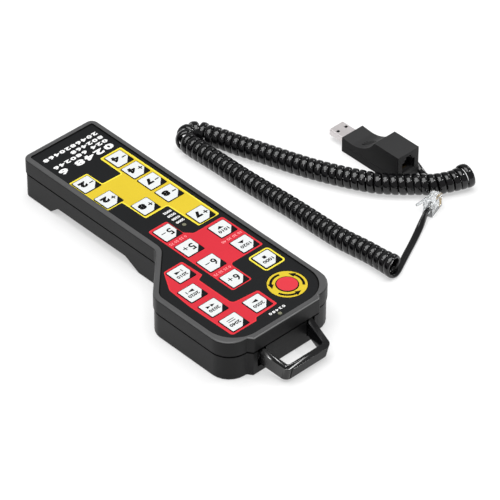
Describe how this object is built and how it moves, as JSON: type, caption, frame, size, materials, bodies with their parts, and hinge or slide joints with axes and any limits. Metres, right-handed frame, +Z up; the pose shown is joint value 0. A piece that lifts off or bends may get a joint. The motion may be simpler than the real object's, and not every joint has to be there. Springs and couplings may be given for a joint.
{
  "type": "machine tool hand pendant",
  "caption": "T-shaped hand pendant with membrane keys, an emergency stop and a hanging loop, with its curly cord and a USB adapter.",
  "frame": {"origin": "on the pendant's underside, on the centreline of its head, level with the end of the handle's narrow part", "axes": "+Y from the handle to the head and the loop, +X to the right when the keys are read, +Z up through the key face"},
  "size_m": [0.2351, 0.2399, 0.0288],
  "materials": {
    "case_plastic": "satin",
    "overlay_film": "satin",
    "key_face": "satin",
    "stop_red": "satin",
    "circuit_board": "satin",
    "switch_plastic": "matte",
    "chip_plastic": "matte",
    "light_lens": "gloss",
    "socket_plastic": "satin",
    "gold_contacts": "polished",
    "screw_steel": "satin",
    "pin_steel": "satin",
    "loop_plastic": "gloss",
    "adapter_plastic": "matte",
    "usb_steel": "satin",
    "tongue_plastic": "satin",
    "cable_jacket": "gloss",
    "clear_plastic": "gloss"
  },
  "bodies": {
    "pendant": {"upper_case": "case_plastic", "lower_case": "case_plastic", "face_overlay": "overlay_film", "circuit_board": "circuit_board", "tact_switches": "switch_plastic", "controller_chips": "chip_plastic", "power_led": "light_lens", "status_led": "light_lens", "cord_socket": "socket_plastic", "cord_socket_contacts": "gold_contacts", "case_screws": "screw_steel", "board_screws": "screw_steel", "hanger_pins": "pin_steel", "adapter_upper_case": "adapter_plastic", "adapter_lower_case": "adapter_plastic", "usb_shell": "usb_steel", "usb_tongue": "tongue_plastic", "usb_contacts": "gold_contacts", "adapter_socket": "socket_plastic", "adapter_socket_contacts": "gold_contacts", "adapter_board": "circuit_board", "adapter_chip": "chip_plastic", "cord_coil_near": "cable_jacket", "cord_coil_bend": "cable_jacket", "cord_coil_middle": "cable_jacket", "cord_coil_far": "cable_jacket", "cord_tail_front": "cable_jacket", "cord_tail_rear": "cable_jacket", "plug_front": "clear_plastic", "plug_rear": "clear_plastic", "plug_contacts_front": "gold_contacts", "plug_contacts_rear": "gold_contacts"},
    "hanger_loop": {"hanger_loop": "loop_plastic"},
    "emergency_stop_button": {"emergency_stop_button": "stop_red"},
    "plug_latch_front": {"plug_latch_front": "clear_plastic"},
    "plug_latch_rear": {"plug_latch_rear": "clear_plastic"},
    "key_a_minus": {"key_a_minus": "key_face"},
    "key_a_plus": {"key_a_plus": "key_face"},
    "key_y_minus": {"key_y_minus": "key_face"},
    "key_x_minus": {"key_x_minus": "key_face"},
    "key_y_plus": {"key_y_plus": "key_face"},
    "key_speed_down": {"key_speed_down": "key_face"},
    "key_speed_up": {"key_speed_up": "key_face"},
    "key_stop": {"key_stop": "key_face"},
    "key_z_minus": {"key_z_minus": "key_face"},
    "key_z_plus": {"key_z_plus": "key_face"},
    "key_x_plus": {"key_x_plus": "key_face"},
    "key_jog_down": {"key_jog_down": "key_face"},
    "key_jog_up": {"key_jog_up": "key_face"},
    "key_feed_down": {"key_feed_down": "key_face"},
    "key_feed_up": {"key_feed_up": "key_face"},
    "key_origin": {"key_origin": "key_face"},
    "key_single_step": {"key_single_step": "key_face"},
    "key_redo": {"key_redo": "key_face"},
    "key_spindle": {"key_spindle": "key_face"},
    "key_cycle_start": {"key_cycle_start": "key_face"}
  },
  "joints": [
    {"name": "hanger_hinge", "type": "hinge", "parent": "pendant", "child": "hanger_loop", "pos_m": [0, 0.1045, 0.0122], "axis": [1, 0, 0], "range_deg": [0, 18]},
    {"name": "emergency_stop_press", "type": "slide", "parent": "pendant", "child": "emergency_stop_button", "axis": [0, 0, 1], "range_m": [-0.0005, 0], "stiffness_N_per_m": 1500},
    {"name": "key_a_minus_press", "type": "slide", "parent": "pendant", "child": "key_a_minus", "axis": [0, 0, 1], "range_m": [-0.0005, 0], "stiffness_N_per_m": 1500},
    {"name": "key_a_plus_press", "type": "slide", "parent": "pendant", "child": "key_a_plus", "axis": [0, 0, 1], "range_m": [-0.0005, 0], "stiffness_N_per_m": 1500},
    {"name": "key_y_minus_press", "type": "slide", "parent": "pendant", "child": "key_y_minus", "axis": [0, 0, 1], "range_m": [-0.0005, 0], "stiffness_N_per_m": 1500},
    {"name": "key_x_minus_press", "type": "slide", "parent": "pendant", "child": "key_x_minus", "axis": [0, 0, 1], "range_m": [-0.0005, 0], "stiffness_N_per_m": 1500},
    {"name": "key_y_plus_press", "type": "slide", "parent": "pendant", "child": "key_y_plus", "axis": [0, 0, 1], "range_m": [-0.0005, 0], "stiffness_N_per_m": 1500},
    {"name": "key_speed_down_press", "type": "slide", "parent": "pendant", "child": "key_speed_down", "axis": [0, 0, 1], "range_m": [-0.0005, 0], "stiffness_N_per_m": 1500},
    {"name": "key_speed_up_press", "type": "slide", "parent": "pendant", "child": "key_speed_up", "axis": [0, 0, 1], "range_m": [-0.0005, 0], "stiffness_N_per_m": 1500},
    {"name": "key_stop_press", "type": "slide", "parent": "pendant", "child": "key_stop", "axis": [0, 0, 1], "range_m": [-0.0005, 0], "stiffness_N_per_m": 1500},
    {"name": "key_z_minus_press", "type": "slide", "parent": "pendant", "child": "key_z_minus", "axis": [0, 0, 1], "range_m": [-0.0005, 0], "stiffness_N_per_m": 1500},
    {"name": "key_z_plus_press", "type": "slide", "parent": "pendant", "child": "key_z_plus", "axis": [0, 0, 1], "range_m": [-0.0005, 0], "stiffness_N_per_m": 1500},
    {"name": "key_x_plus_press", "type": "slide", "parent": "pendant", "child": "key_x_plus", "axis": [0, 0, 1], "range_m": [-0.0005, 0], "stiffness_N_per_m": 1500},
    {"name": "key_jog_down_press", "type": "slide", "parent": "pendant", "child": "key_jog_down", "axis": [0, 0, 1], "range_m": [-0.0005, 0], "stiffness_N_per_m": 1500},
    {"name": "key_jog_up_press", "type": "slide", "parent": "pendant", "child": "key_jog_up", "axis": [0, 0, 1], "range_m": [-0.0005, 0], "stiffness_N_per_m": 1500},
    {"name": "key_feed_down_press", "type": "slide", "parent": "pendant", "child": "key_feed_down", "axis": [0, 0, 1], "range_m": [-0.0005, 0], "stiffness_N_per_m": 1500},
    {"name": "key_feed_up_press", "type": "slide", "parent": "pendant", "child": "key_feed_up", "axis": [0, 0, 1], "range_m": [-0.0005, 0], "stiffness_N_per_m": 1500},
    {"name": "key_origin_press", "type": "slide", "parent": "pendant", "child": "key_origin", "axis": [0, 0, 1], "range_m": [-0.0005, 0], "stiffness_N_per_m": 1500},
    {"name": "key_single_step_press", "type": "slide", "parent": "pendant", "child": "key_single_step", "axis": [0, 0, 1], "range_m": [-0.0005, 0], "stiffness_N_per_m": 1500},
    {"name": "key_redo_press", "type": "slide", "parent": "pendant", "child": "key_redo", "axis": [0, 0, 1], "range_m": [-0.0005, 0], "stiffness_N_per_m": 1500},
    {"name": "key_spindle_press", "type": "slide", "parent": "pendant", "child": "key_spindle", "axis": [0, 0, 1], "range_m": [-0.0005, 0], "stiffness_N_per_m": 1500},
    {"name": "key_cycle_start_press", "type": "slide", "parent": "pendant", "child": "key_cycle_start", "axis": [0, 0, 1], "range_m": [-0.0005, 0], "stiffness_N_per_m": 1500},
    {"name": "front_latch_flex", "type": "hinge", "parent": "pendant", "child": "plug_latch_front", "pos_m": [-0.16351, 0.06663, 0.00483], "axis": [0, 0, 1], "range_deg": [0, 15], "stiffness_Nm_per_rad": 0.05},
    {"name": "rear_latch_flex", "type": "hinge", "parent": "pendant", "child": "plug_latch_rear", "pos_m": [-0.18565, 0.0155, 0.00483], "axis": [0, 0, -1], "range_deg": [0, 15], "stiffness_Nm_per_rad": 0.05}
  ]
}
